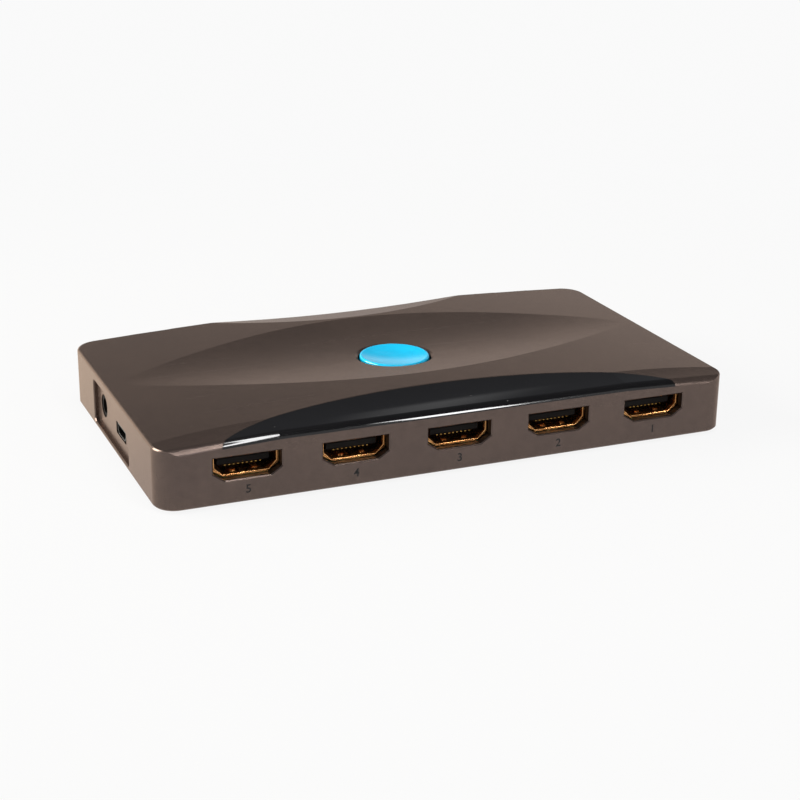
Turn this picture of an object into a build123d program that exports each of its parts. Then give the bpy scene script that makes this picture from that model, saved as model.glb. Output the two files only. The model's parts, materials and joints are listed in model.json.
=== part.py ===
from build123d import *
import os
from math import asin, atan, cos, sin, sqrt, tan

# A low desktop switch box: five picture sockets along the front, one at the rear, a power
# socket and a round jack in a recess on the left, one large push button on the roof.
# Millimetres, +X to the right seen from the front, +Y to the rear, +Z up.
# The origin is the middle of the case in plan, on the surface that the rubber feet stand on.

os.makedirs("parts", exist_ok=True)

# Clearances
overrun = 1.0            # how far every cutting tool runs past what it cuts
fit_gap = 0.05           # between fixed pieces that seat in each other
cover_gap = 0.15         # round the bottom cover
button_gap = 0.5         # round the push button

# Case
case_width = 140.0
case_depth = 78.0
crown_rise = 2.1         # how much higher the roof stands along the middle than at its sides
ceiling_gap = 0.18       # light guide to ceiling, which sets how high the roof stands
corner_radius = 5.0
wall = 2.0
roof = 2.2
edge_round = 0.8
foot_edge = 0.4
foot_stand = 0.8         # case foot above the table

# Shallow dish across the middle of the roof, a lens with long thin tips
dish_radius = 190.0
dish_depth = 1.35
dish_place = 5.5         # its lowest line, behind the middle
dish_overreach = 10.0    # how far its tool runs past the case at each side
dish_rise = 0.05         # the tool's ends above the roof
dish_fade = 3            # power of the curve by which it fades towards its tips
dish_stations = 4        # sections from its middle to each end

# Glossy crescent scooped out above the front sockets
scoop_radius = 126.0
scoop_depth = 1.37
scoop_lead = 4.3         # its lowest line lies this far in front of the case
end_inset = 22.0         # from the case's sides to where the scoop runs along the crown's slope
end_depth = 0.6          # its depth there
nose_radius = 1.6
window_thickness = 1.2
window_lip = 0.45        # the scoop's rear edge to the window, at the middle
window_stretch = 0.6     # the window's tips past the ends of the level scoop

# Scoop that thins the rear edge
rear_radius = 520.0
rear_depth = 1.82
rear_run = 10.0

# Bottom cover and the posts under the board
cover_thickness = 1.4
cover_edge = 0.3
board_gap = 1.4          # cover to board
post_radius = 2.9

# Circuit board
board_thickness = 1.6
board_margin = 0.5       # board edge to case wall
board_corner = 3.0
slot_gap = 0.25

# Case screws
screw_inset_x = 7.5
screw_inset_y = 7.5
screw_radius = 1.2
screw_length = 9.0
screw_head_radius = 2.2
screw_head_height = 1.3
screw_head_rise = 0.3    # head above the case foot
cross_width = 0.6
cross_length = 2.4
cross_depth = 0.7
boss_radius = 2.9
pilot_gap = 0.02
shank_gap = 0.2

# Rubber feet
foot_radius = 4.5
foot_inset_x = 17.0
foot_inset_y = 11.0
foot_bed = 0.4
foot_chamfer = 0.3

# Picture sockets
port_count = 5
port_inset = 20.0        # outer sockets' middle lines from the case's sides
socket_gap = 0.1         # socket mouth behind the case's wall
socket_floor = 1.75      # inner floor above the board
socket_width = 14.0
socket_height = 4.55
cheek_width = 2.2
cheek_height = 1.5
sheet = 0.3
lip_flare = 0.25
lip_length = 0.7
socket_length = 11.5
leg_length = 1.6
leg_reach = 0.7          # leg below the board
leg_front = 2.6
leg_inset = 2.1          # rear legs in front of the shell's rear end
spring_width = 1.1
spring_height = 0.3
spring_start = 1.7
spring_length = 3.0
spring_spacing = 5.3
tongue_width = 11.8
tongue_thickness = 1.9
tongue_floor = 1.4       # under the tongue
tongue_set = 1.5         # tongue tip behind the mouth
tongue_round = 0.4
plug_room = 6.8          # mouth to the block that carries the tongue
block_length = 1.6       # block behind the metal shell
contact_pitch = 1.0
contact_width = 0.3
contact_sheet = 0.15
contact_set = 0.35
contact_foot = 0.9
upper_contacts = 10
lower_contacts = 9

# Cut-out in the case for a picture socket
port_width = 15.5
port_height = 5.35
port_floor = 1.05        # lower edge above the board
port_cheek_width = 2.6
port_cheek_height = 1.7
port_edge = 0.25         # chamfer round its outer edge

# Recess on the left side
recess_length = 32.5
recess_height = 10.5
recess_place = 2.2       # its middle, behind the middle of the case
recess_floor = 1.0       # above the case foot
recess_depth = 1.0
recess_corner = 1.2
recess_edge = 0.25       # chamfer round its outer edge

# Power socket
power_place = -3.9
power_set = 0.15
power_width = 6.9
power_height = 2.0
power_cheek_width = 0.9
power_cheek_height = 0.8
power_sheet = 0.25
power_base = 0.1
power_length = 5.6
power_tongue_width = 5.0
power_tongue_thickness = 0.6
power_tongue_set = 1.0
power_tongue_floor = 0.7
power_block_length = 1.6
power_contact_count = 5
power_pitch = 0.65
power_contact_width = 0.3
power_contact_sheet = 0.12
power_contact_foot = 0.8
power_slot_side = 0.8    # slot in the case past each end of the shell
power_slot_gap = 0.25    # slot in the case above and below the shell
power_slot_corner = 0.6

# Round jack
jack_place = 11.9
jack_axis_height = 2.4   # above the board
jack_bore_radius = 1.8
jack_nose_radius = 2.5
jack_nose_set = 0.2
jack_bush_radius = 2.15
jack_bush_length = 2.5
jack_width = 6.0
jack_height = 4.8
jack_length = 11.5
jack_hole_gap = 0.25     # round the nose, in the case
jack_end_wall = 1.0
jack_edge = 0.4
jack_spring_sheet = 0.2
jack_spring_width = 1.0
jack_spring_length = 5.0
jack_spring_start = 4.5

# Push button
button_radius = 8.45
button_stand = 0.75      # its crest above the dish's lowest line
button_dome = 0.35
button_edge = 0.45
button_roof = 1.4
button_skirt = 1.2
bezel_width = 0.6
bezel_depth = 0.45
guide_wall = 1.2
guide_length = 3.75      # its lower end below the dish's lowest line
lug_gap = 0.1
lug_reach = 1.0
lug_height = 0.8
lug_width = 5.0
lug_count = 3
stem_radius = 2.2
rib_width = 1.0
rib_height = 1.2

# Push switch under the button
switch_side = 6.0
switch_corner = 0.5
switch_well_radius = 2.3
switch_floor = 1.5
switch_cover_sheet = 0.3
switch_cover_hole = 1.85
switch_skirt = 1.4
plunger_radius = 1.75
plunger_foot_radius = 2.1
plunger_foot_height = 1.0
plunger_top = 5.0        # above the board
plunger_gap = 0.1
dome_gap = 0.05          # dome to plunger
dome_radius = 2.2
dome_rise = 0.55
dome_sheet = 0.1
terminal_width = 0.7
terminal_sheet = 0.25
terminal_spacing = 4.5
terminal_height = 1.2
terminal_foot = 0.9

# Indicator lamps and the clear guide that carries their light to the window
lamp_length = 1.6
lamp_width = 0.8
lamp_height = 0.7
lamp_gap = 0.1
lamp_place = 1.6         # behind the sockets' contacts
guide_width = 2.0
guide_thickness = 0.9
guide_leg = 1.6
guide_rail = 1.2
light_hole_radius = 0.5
light_place = 0.55       # behind the front wall
light_gap = 0.1
arm_gap = 0.2

# Parts on the board
chip_side = 14.0
chip_height = 1.4
chip_edge = 0.3
chip_place_x = 22.0
chip_place_y = 6.0
controller_length = 5.0
controller_width = 6.0
controller_height = 1.5
controller_inset = 44.0  # from the case's left side
controller_y = 8.0
regulator_length = 6.5
regulator_width = 3.5
regulator_height = 1.6
regulator_inset = 22.0   # from the case's left side
regulator_y = -6.0
can_radius = 2.5
can_height = 5.4
can_base = 1.0
can_edge = 0.4
can_inset = 24.0         # the first one, from the case's left side
can_y = 4.5
can_pitch = 9.0
crystal_length = 11.0
crystal_width = 4.6
crystal_height = 3.2
crystal_inset = 44.0     # from the case's left side
crystal_y = 18.0
small_length = 1.6
small_width = 0.8
small_height = 0.6
small_pitch = 3.0
small_per_port = 6
small_row = 3.2          # behind the lamps

# Places worked out from the values above
half_width = case_width / 2
front = -case_depth / 2
rear = case_depth / 2
board_floor = foot_stand + cover_thickness + board_gap
board_top = board_floor + board_thickness
socket_top = socket_floor + socket_height + sheet
arm_floor = board_top + socket_top + lip_flare + arm_gap
arm_top = arm_floor + guide_thickness
crown_top = arm_top + ceiling_gap + roof + scoop_depth
crown_radius = (half_width**2 + crown_rise**2) / (2 * crown_rise)
can_x = can_inset - half_width
dish_floor = crown_top - dish_depth
dish_axis = dish_floor + dish_radius
dish_reach = half_width + dish_overreach
scoop_line = front - scoop_lead
scoop_length = sqrt(2 * crown_radius * scoop_depth)
scoop_run = sqrt(2 * scoop_radius * scoop_depth)
scoop_axis = crown_top - scoop_depth + scoop_radius
end_place = half_width - end_inset
end_angle = asin(end_place / crown_radius)
end_top = crown_top - crown_radius * (1 - cos(end_angle))
screw_x = half_width - screw_inset_x
screw_y = case_depth / 2 - screw_inset_y
foot_x = half_width - foot_inset_x
foot_y = case_depth / 2 - foot_inset_y
mouth_front = front + wall + socket_gap
mouth_rear = rear - wall - socket_gap
port_bottom = board_top + port_floor
port_top = port_bottom + port_height
recess_plane = -half_width + recess_depth
recess_middle = foot_stand + recess_floor + recess_height / 2
power_mouth = recess_plane + power_set
jack_mouth = recess_plane + jack_nose_set
button_crest = dish_floor + button_stand
guide_foot = dish_floor - guide_length
port_pitch = (case_width - 2 * port_inset) / (port_count - 1)
port_places = [port_pitch * (i - (port_count - 1) / 2) for i in range(port_count)]
screw_places = [(x, y) for x in (-screw_x, screw_x) for y in (-screw_y, screw_y)]
foot_places = [(x, y) for x in (-foot_x, foot_x) for y in (-foot_y, foot_y)]
button_hole = button_radius + button_gap

cover_inset = wall + cover_gap
screw_head_top = foot_stand + screw_head_rise + screw_head_height
screw_tip = screw_head_top + screw_length
power_middle = board_top + power_base + power_sheet + power_height / 2
power_slot_width = power_width + 2 * (power_sheet + power_slot_side)
power_slot_height = power_height + 2 * (power_sheet + power_slot_gap)
leg_x = socket_width / 2 + sheet / 2
leg_rear = socket_length - leg_inset
tongue_middle = socket_floor + tongue_floor + tongue_thickness / 2
upper_level = socket_floor + tongue_floor + tongue_thickness
lower_level = socket_floor + tongue_floor - contact_sheet
contact_end = socket_length + block_length
jack_body_start = wall + fit_gap - recess_depth - jack_nose_set
jack_body_end = jack_body_start + jack_length
lamp_y = mouth_front + contact_end + contact_foot + lamp_place
light_y = front + wall + light_place
front_plane = Plane(origin=(0, front, 0), x_dir=(1, 0, 0), z_dir=(0, -1, 0))
rear_plane = Plane(origin=(0, rear, 0), x_dir=(-1, 0, 0), z_dir=(0, 1, 0))
left_plane = Plane(origin=(-half_width - overrun, 0, 0), x_dir=(0, 1, 0), z_dir=(1, 0, 0))
power_level = power_base + power_sheet + power_tongue_floor
jack_clip_inner = jack_bore_radius + fit_gap
jack_clip_outer = jack_width / 2 + jack_spring_sheet
jack_clip_low = jack_axis_height - jack_spring_width / 2
jack_clip_high = jack_axis_height + jack_spring_width / 2
button_rim = button_crest - button_dome
button_arc_radius = ((button_radius - button_edge)**2 + button_dome**2) / (2 * button_dome)
button_ceiling = button_rim - button_roof
skirt_foot = guide_foot - lug_gap - lug_height
plunger_crest = board_top + plunger_top
dome_floor = board_top + switch_floor
plunger_foot = dome_floor + dome_rise + dome_gap
switch_top = plunger_foot + plunger_foot_height + plunger_gap
dome_arc_radius = (dome_radius**2 + dome_rise**2) / (2 * dome_rise)
dome_inner = sqrt((dome_arc_radius - dome_sheet)**2 - (dome_arc_radius - dome_rise)**2)
light_tip_radius = light_hole_radius - light_gap
light_floor = end_top - end_depth - (port_places[-1] - end_place) * tan(end_angle)
light_tip = light_floor - window_thickness - light_gap


def scoop_section(plane, depth, drop):
    """Side section of what the front scoop and its rounded nose take away, sunk by drop.

    The plane's origin lies on the roof, and depth is the scoop's own depth below it.
    """
    axis = scoop_radius - depth
    nose = axis - sqrt((scoop_radius + nose_radius)**2 - (nose_radius + scoop_lead)**2)
    start = (front + drop, nose)
    share = (scoop_radius + drop) / (scoop_radius + nose_radius)
    touch = (scoop_line + (nose_radius + scoop_lead) * share, axis + (nose - axis) * share)
    sunk = scoop_radius + drop
    end = (scoop_line + sqrt(sunk**2 - (axis - overrun)**2), overrun)
    with BuildSketch(plane) as section:
        with BuildLine():
            RadiusArc(start, touch, nose_radius - drop)
            RadiusArc(touch, end, -sunk)
            Polyline(end, (front - overrun, overrun), (front - overrun, nose), start)
        make_face()
    return section.sketch


def scoop(drop):
    """The front scoop, level across the middle and along the crown's slope at both ends, sunk by drop."""
    with BuildPart() as tools:
        extrude(scoop_section(Plane(origin=(0, 0, crown_top), x_dir=(0, 1, 0), z_dir=(1, 0, 0)),
                              scoop_depth, drop), amount=case_width, both=True)
        for way in (-1, 1):
            slope = Plane(origin=(way * end_place, 0, end_top), x_dir=(0, 1, 0),
                          z_dir=(cos(end_angle), 0, -way * sin(end_angle)))
            extrude(scoop_section(slope, end_depth, drop), amount=case_width, both=True)
    return tools.part


def roofed_block(inset, drop):
    """The case's plan drawn in by inset, up to the crowned roof sunk by drop."""
    reach = half_width + overrun
    radius = crown_radius - drop
    shoulder = crown_top - crown_radius + sqrt(radius**2 - reach**2)
    with BuildPart() as block:
        with BuildSketch(Plane.XZ):
            with BuildLine():
                ThreePointArc((-reach, shoulder), (0, crown_top - drop), (reach, shoulder))
                Polyline((reach, shoulder), (reach, foot_stand), (-reach, foot_stand), (-reach, shoulder))
            make_face()
        extrude(amount=case_depth, both=True)
        with BuildSketch(Plane.XY.offset(foot_stand)):
            RectangleRounded(case_width - 2 * inset, case_depth - 2 * inset, corner_radius - inset)
        extrude(amount=crown_top, mode=Mode.INTERSECT)
    return block.part


def dish():
    """The dish, whose depth below the crown fades towards both tips."""
    with BuildPart() as tool:
        for i in range(-dish_stations, dish_stations + 1):
            x = dish_reach * i / dish_stations
            level = crown_top - crown_radius + sqrt(crown_radius**2 - x**2)
            depth = (dish_depth + dish_rise) * (1 - (x / dish_reach)**2)**dish_fade - dish_rise
            reach = sqrt(dish_radius**2 - (dish_radius - depth - overrun)**2)
            left = (dish_place - reach, level + overrun)
            right = (dish_place + reach, level + overrun)
            with BuildSketch(Plane.YZ.offset(x)):
                with BuildLine():
                    ThreePointArc(left, (dish_place, level - depth), right)
                    Line(right, left)
                make_face()
        loft()
    return tool.part


def rear_scoop(drop):
    """The scoop that thins the rear edge, sunk by drop."""
    tilt = atan(rear_depth / rear_run)
    slope = Plane(origin=(0, rear, crown_top - rear_depth), x_dir=(1, 0, 0),
                  z_dir=(0, -cos(tilt), sin(tilt)))
    with BuildPart() as tool:
        with BuildSketch(slope):
            with Locations((0, rear_radius)):
                Circle(rear_radius + drop)
        extrude(amount=2 * rear_run, both=True)
    return tool.part


def crescent_prism(margin):
    """Upright prism over the window's crescent, grown by margin."""
    with BuildPart() as prism:
        with BuildSketch():
            with Locations((0, scoop_line)):
                Ellipse(scoop_length + window_stretch + margin, scoop_run - window_lip + margin)
        extrude(amount=crown_top + overrun)
    return prism.part


def port_points(middle, floor, width, height, cheek_wide, cheek_tall):
    """Outline of a socket: upright sides, the two lower corners cut off by the cheeks."""
    left = middle - width / 2
    right = middle + width / 2
    return [(left, floor + height), (right, floor + height), (right, floor + cheek_tall),
            (right - cheek_wide, floor), (left + cheek_wide, floor), (left, floor + cheek_tall)]


def socket_outline(margin):
    """Face of a picture socket's opening, grown by margin."""
    with BuildSketch() as face:
        with BuildLine():
            Polyline(*port_points(0, socket_floor, socket_width, socket_height, cheek_width, cheek_height),
                     close=True)
        make_face()
        if margin:
            offset(amount=margin, kind=Kind.INTERSECTION)
    return face.sketch


def power_outline(margin):
    """Face of the power socket's opening, grown by margin."""
    with BuildSketch() as face:
        with BuildLine():
            Polyline(*port_points(0, power_base + power_sheet, power_width, power_height, power_cheek_width,
                                  power_cheek_height), close=True)
        make_face()
        if margin:
            offset(amount=margin, kind=Kind.INTERSECTION)
    return face.sketch


def contact_strip(start, end, foot, level, thickness, width):
    """A flat contact that runs back along a tongue, then down behind it to the board."""
    with BuildPart() as strip:
        with BuildSketch(Plane.YZ.offset(-width / 2)):
            with BuildLine():
                Polyline((start, level), (start, level + thickness), (end + thickness, level + thickness),
                         (end + thickness, thickness), (end + foot, thickness), (end + foot, 0),
                         (end, 0), (end, level), close=True)
            make_face()
        extrude(amount=width)
    return strip.part


# Ceiling and inner walls of the top shell, with what hangs from the roof left standing
with BuildPart() as cavity:
    add(roofed_block(wall, roof))
    add(rear_scoop(roof), mode=Mode.SUBTRACT)
    for place, axis, radius in ((dish_place, dish_axis, dish_radius), (scoop_line, scoop_axis, scoop_radius)):
        with BuildSketch(Plane.YZ):
            with Locations((place, axis)):
                Circle(radius + roof)
        extrude(amount=case_width, both=True, mode=Mode.SUBTRACT)
    with BuildSketch(Plane.XY.offset(board_top)):
        with Locations(*screw_places):
            Circle(boss_radius)
    extrude(amount=crown_top, mode=Mode.SUBTRACT)
    with BuildSketch(Plane.XY.offset(guide_foot)):
        Circle(button_hole + guide_wall)
    extrude(amount=crown_top, mode=Mode.SUBTRACT)

# Bed that the indicator window is glued into
with BuildPart() as window_bed:
    add(scoop(window_thickness + fit_gap))
    add(crescent_prism(fit_gap), mode=Mode.INTERSECT)

# Top shell: roof and all four walls in one moulding
with BuildPart() as top_shell:
    add(roofed_block(0, 0))
    fillet(top_shell.faces().sort_by(Axis.Z)[-1].edges(), edge_round)
    chamfer(top_shell.faces().sort_by(Axis.Z)[0].edges(), foot_edge)
    add(dish(), mode=Mode.SUBTRACT)
    add(rear_scoop(0), mode=Mode.SUBTRACT)
    add(scoop(0), mode=Mode.SUBTRACT)
    add(window_bed.part, mode=Mode.SUBTRACT)
    add(cavity.part, mode=Mode.SUBTRACT)
    # Hole for the push button, with its narrow sunk bezel
    with BuildSketch(Plane.XY.offset(guide_foot - overrun)):
        Circle(button_hole)
    extrude(amount=crown_top, mode=Mode.SUBTRACT)
    rim = top_shell.edges().filter_by(
        lambda edge: abs(edge.bounding_box().size.X - 2 * button_hole) < fit_gap
        and edge.center(CenterOf.BOUNDING_BOX).Z > guide_foot + roof / 2)
    chamfer(rim.sort_by(Axis.Z)[-1], bezel_depth, bezel_width)
    # Cut-outs for the picture sockets
    for plane, face, places in ((front_plane, front, port_places), (rear_plane, rear, [0])):
        with BuildSketch(plane.offset(-wall - overrun)):
            for x in places:
                with BuildLine():
                    Polyline(*port_points(x, port_bottom, port_width, port_height,
                                          port_cheek_width, port_cheek_height), close=True)
                make_face()
        extrude(amount=wall + 2 * overrun, mode=Mode.SUBTRACT)
        chamfer(top_shell.edges().filter_by(
            lambda edge: abs(edge.center().Y - face) < fit_gap
            and abs(edge.center().X) < half_width - corner_radius
            and port_bottom - fit_gap < edge.center().Z < port_top + fit_gap), port_edge)
    # Recess on the left, with the openings for the power socket and the round jack
    with BuildSketch(left_plane):
        with Locations((recess_place, recess_middle)):
            RectangleRounded(recess_length, recess_height, recess_corner)
    extrude(amount=overrun + recess_depth, mode=Mode.SUBTRACT)
    chamfer(top_shell.edges().filter_by(
        lambda edge: abs(edge.center().X + half_width) < fit_gap
        and abs(edge.center().Y - recess_place) < recess_length / 2 + fit_gap
        and abs(edge.center().Z - recess_middle) < recess_height / 2 + fit_gap), recess_edge)
    with BuildSketch(left_plane):
        with Locations((power_place, power_middle)):
            RectangleRounded(power_slot_width, power_slot_height, power_slot_corner)
        with Locations((jack_place, board_top + jack_axis_height)):
            Circle(jack_nose_radius + jack_hole_gap)
    extrude(amount=wall + 2 * overrun, mode=Mode.SUBTRACT)
    # Pilot holes for the case screws and holes for the light guide's tips
    with BuildSketch(Plane.XY.offset(board_top - overrun)):
        with Locations(*screw_places):
            Circle(screw_radius + pilot_gap)
    extrude(amount=screw_tip + shank_gap - board_top + overrun, mode=Mode.SUBTRACT)
    with BuildSketch(Plane.XY.offset(arm_top)):
        with Locations(*[(x, light_y) for x in port_places]):
            Circle(light_hole_radius)
    extrude(amount=crown_top - roof - arm_top, mode=Mode.SUBTRACT)

top_shell.part.label = "top_shell"
export_step(top_shell.part, "parts/top_shell.step")

# Dark glossy window, a crescent that follows the scoop and rolls down to the front face
with BuildPart() as indicator_window:
    add(scoop(window_thickness))
    add(scoop(0), mode=Mode.SUBTRACT)
    add(crescent_prism(0), mode=Mode.INTERSECT)

indicator_window.part.label = "indicator_window"
export_step(indicator_window.part, "parts/indicator_window.step")

# Bottom cover: a flat plate inside the walls, with posts for the board
with BuildPart() as bottom_cover:
    with BuildSketch(Plane.XY.offset(foot_stand)):
        RectangleRounded(case_width - 2 * cover_inset, case_depth - 2 * cover_inset,
                         corner_radius - cover_inset)
    extrude(amount=cover_thickness)
    chamfer(bottom_cover.faces().sort_by(Axis.Z)[0].edges(), cover_edge)
    with BuildSketch(Plane.XY.offset(foot_stand + cover_thickness)):
        with Locations(*screw_places):
            Circle(post_radius)
    extrude(amount=board_gap)
    with BuildSketch(Plane.XY.offset(foot_stand)):
        with Locations(*screw_places):
            Circle(screw_head_radius + shank_gap)
    extrude(amount=screw_head_top - foot_stand, mode=Mode.SUBTRACT)
    with BuildSketch(Plane.XY.offset(foot_stand)):
        with Locations(*screw_places):
            Circle(screw_radius + shank_gap)
    extrude(amount=board_top, mode=Mode.SUBTRACT)
    with BuildSketch(Plane.XY.offset(foot_stand)):
        with Locations(*foot_places):
            Circle(foot_radius + fit_gap)
    extrude(amount=foot_bed, mode=Mode.SUBTRACT)

bottom_cover.part.label = "bottom_cover"
export_step(bottom_cover.part, "parts/bottom_cover.step")

# Rubber feet in their shallow beds
with BuildPart() as rubber_feet:
    with BuildSketch():
        with Locations(*foot_places):
            Circle(foot_radius)
    extrude(amount=foot_stand + foot_bed)
    chamfer(rubber_feet.edges().group_by(Axis.Z)[0], foot_chamfer)

rubber_feet.part.label = "rubber_feet"
export_step(rubber_feet.part, "parts/rubber_feet.step")

# Four screws that clamp the cover, the board and the top shell together
with BuildPart() as case_screws:
    with BuildSketch(Plane.XY.offset(foot_stand + screw_head_rise)):
        with Locations(*screw_places):
            Circle(screw_head_radius)
    extrude(amount=screw_head_height)
    with BuildSketch(Plane.XY.offset(screw_head_top)):
        with Locations(*screw_places):
            Circle(screw_radius)
    extrude(amount=screw_length)
    with BuildSketch(Plane.XY.offset(foot_stand + screw_head_rise)):
        with Locations(*screw_places):
            Rectangle(cross_length, cross_width)
            Rectangle(cross_width, cross_length)
    extrude(amount=cross_depth, mode=Mode.SUBTRACT)

case_screws.part.label = "case_screws"
export_step(case_screws.part, "parts/case_screws.step")

# Metal shell of a picture socket, its mouth towards -Y, standing on the board's face at z = 0
with BuildPart() as socket_shell:
    with BuildSketch(Plane.XZ.offset(-lip_length)):
        add(socket_outline(sheet))
    extrude(amount=lip_length - socket_length)
    with BuildSketch(Plane.XZ.offset(-lip_length)):
        add(socket_outline(sheet))
    with BuildSketch(Plane.XZ):
        add(socket_outline(sheet + lip_flare))
    loft()
    with BuildSketch(Plane.XZ):
        add(socket_outline(0))
    extrude(amount=-socket_length, mode=Mode.SUBTRACT)
    with BuildSketch(Plane.XZ.offset(-lip_length)):
        add(socket_outline(0))
    with BuildSketch(Plane.XZ):
        add(socket_outline(lip_flare))
    loft(mode=Mode.SUBTRACT)
    # Legs that are soldered into the board
    for y in (leg_front, leg_rear):
        with BuildSketch(Plane.XY.offset(-board_thickness - leg_reach)):
            with Locations((-leg_x, y), (leg_x, y)):
                Rectangle(sheet, leg_length)
        extrude(amount=board_thickness + leg_reach + socket_floor + socket_height / 2)
    # Springs bent inwards in the floor and the roof
    for level, way in ((socket_floor, 1), (socket_floor + socket_height, -1)):
        with BuildSketch(Plane.YZ.offset(-spring_width / 2)):
            with BuildLine():
                ThreePointArc((spring_start, level),
                              (spring_start + spring_length / 2, level + way * spring_height),
                              (spring_start + spring_length, level))
                Polyline((spring_start + spring_length, level),
                         (spring_start + spring_length, level - way * sheet / 2),
                         (spring_start, level - way * sheet / 2), (spring_start, level))
            make_face()
        spring = extrude(amount=spring_width, mode=Mode.PRIVATE)
        with Locations((-spring_spacing / 2, 0, 0), (spring_spacing / 2, 0, 0)):
            add(spring)

# Moulded block of a picture socket: the tongue, and the foot that stands on the board
with BuildPart() as socket_block:
    with BuildSketch(Plane.XZ.offset(-plug_room)):
        add(socket_outline(-fit_gap))
    extrude(amount=plug_room - socket_length)
    with BuildSketch(Plane.XZ.offset(-socket_length)):
        with Locations((0, socket_top / 2)):
            Rectangle(socket_width + 2 * sheet, socket_top)
    extrude(amount=-block_length)
    with BuildSketch(Plane.YZ.offset(-tongue_width / 2)) as tongue:
        with Locations(((tongue_set + plug_room) / 2, tongue_middle)):
            Rectangle(plug_room - tongue_set, tongue_thickness)
        chamfer(tongue.vertices().group_by(Axis.X)[0], tongue_round)
    extrude(amount=tongue_width)
    # Slots through the block for the two rows of contacts
    for level, count in ((upper_level, upper_contacts), (lower_level, lower_contacts)):
        with BuildSketch(Plane.XZ.offset(-plug_room)):
            with Locations((0, level + contact_sheet / 2)):
                Rectangle((count - 1) * contact_pitch + contact_width, contact_sheet)
        extrude(amount=plug_room - contact_end, mode=Mode.SUBTRACT)

# Sprung contacts of a picture socket, in two rows, bent down to the board behind the block
with BuildPart() as socket_contacts:
    for level, count in ((upper_level, upper_contacts), (lower_level, lower_contacts)):
        with Locations(*[(contact_pitch * (i - (count - 1) / 2), 0, 0) for i in range(count)]):
            add(contact_strip(tongue_set + contact_set, contact_end, contact_foot, level,
                              contact_sheet, contact_width))

# Five input sockets along the front, numbered from the right, and the output at the rear
sockets = [(f"input_{number}", Location((x, mouth_front, board_top)))
           for number, x in enumerate(reversed(port_places), start=1)]
sockets.append(("output", Location((0, mouth_rear, board_top), (0, 0, 180))))
for name, place in sockets:
    with BuildPart() as shell:
        with Locations(place):
            add(socket_shell.part)
    shell.part.label = f"{name}_shell"
    export_step(shell.part, f"parts/{name}_shell.step")
    with BuildPart() as block:
        with Locations(place):
            add(socket_block.part)
    block.part.label = f"{name}_block"
    export_step(block.part, f"parts/{name}_block.step")
    with BuildPart() as contacts:
        with Locations(place):
            add(socket_contacts.part)
    contacts.part.label = f"{name}_contacts"
    export_step(contacts.part, f"parts/{name}_contacts.step")

# Circuit board with its screw holes and the slots for the sockets' legs
with BuildPart() as circuit_board:
    with BuildSketch(Plane.XY.offset(board_floor)):
        RectangleRounded(case_width - 2 * (wall + board_margin), case_depth - 2 * (wall + board_margin),
                         board_corner)
        with Locations(*screw_places):
            Circle(screw_radius + shank_gap, mode=Mode.SUBTRACT)
        for name, place in sockets:
            with Locations(place):
                with Locations(*[(x, y) for x in (-leg_x, leg_x) for y in (leg_front, leg_rear)]):
                    Rectangle(sheet + 2 * slot_gap, leg_length + 2 * slot_gap, mode=Mode.SUBTRACT)
    extrude(amount=board_thickness)

circuit_board.part.label = "circuit_board"
export_step(circuit_board.part, "parts/circuit_board.step")

# Power socket, its mouth towards -Y: metal shell, then the block with its tongue, then contacts
with BuildPart() as power_shell:
    with BuildSketch(Plane.XZ):
        add(power_outline(power_sheet))
        add(power_outline(0), mode=Mode.SUBTRACT)
    extrude(amount=-power_length)

with BuildPart() as power_contacts:
    with Locations(*[(power_pitch * (i - (power_contact_count - 1) / 2), 0, 0)
                     for i in range(power_contact_count)]):
        add(contact_strip(power_tongue_set + contact_set, power_length, power_contact_foot, power_level,
                          power_contact_sheet, power_contact_width))

with BuildPart() as power_block:
    with BuildSketch(Plane.XZ.offset(power_block_length - power_length)):
        add(power_outline(-fit_gap))
    extrude(amount=-power_block_length)
    with BuildSketch(Plane.XZ.offset(-power_tongue_set)):
        with Locations((0, power_level + power_contact_sheet + power_tongue_thickness / 2)):
            Rectangle(power_tongue_width, power_tongue_thickness)
    extrude(amount=power_tongue_set - power_length)
    add(power_contacts.part, mode=Mode.SUBTRACT)

for name, piece in (("power_shell", power_shell), ("power_block", power_block),
                    ("power_contacts", power_contacts)):
    with BuildPart() as seated:
        with Locations(Location((power_mouth, power_place, board_top), (0, 0, -90))):
            add(piece.part)
    seated.part.label = name
    export_step(seated.part, f"parts/{name}.step")

# Round jack, its mouth towards -Y: body with a bore, metal bush in its nose, two side springs
with BuildPart() as round_jack_clips:
    with BuildSketch(Plane.XZ.offset(-jack_spring_start)):
        with BuildLine():
            Polyline((jack_clip_inner, jack_clip_low), (jack_clip_inner, jack_clip_high),
                     (jack_clip_outer, jack_clip_high), (jack_clip_outer, 0),
                     (jack_width / 2, 0), (jack_width / 2, jack_clip_high - jack_spring_sheet),
                     (jack_clip_inner + jack_spring_sheet, jack_clip_high - jack_spring_sheet),
                     (jack_clip_inner + jack_spring_sheet, jack_clip_low), close=True)
        make_face()
        mirror(about=Plane.YZ)
    extrude(amount=-jack_spring_length)

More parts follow.
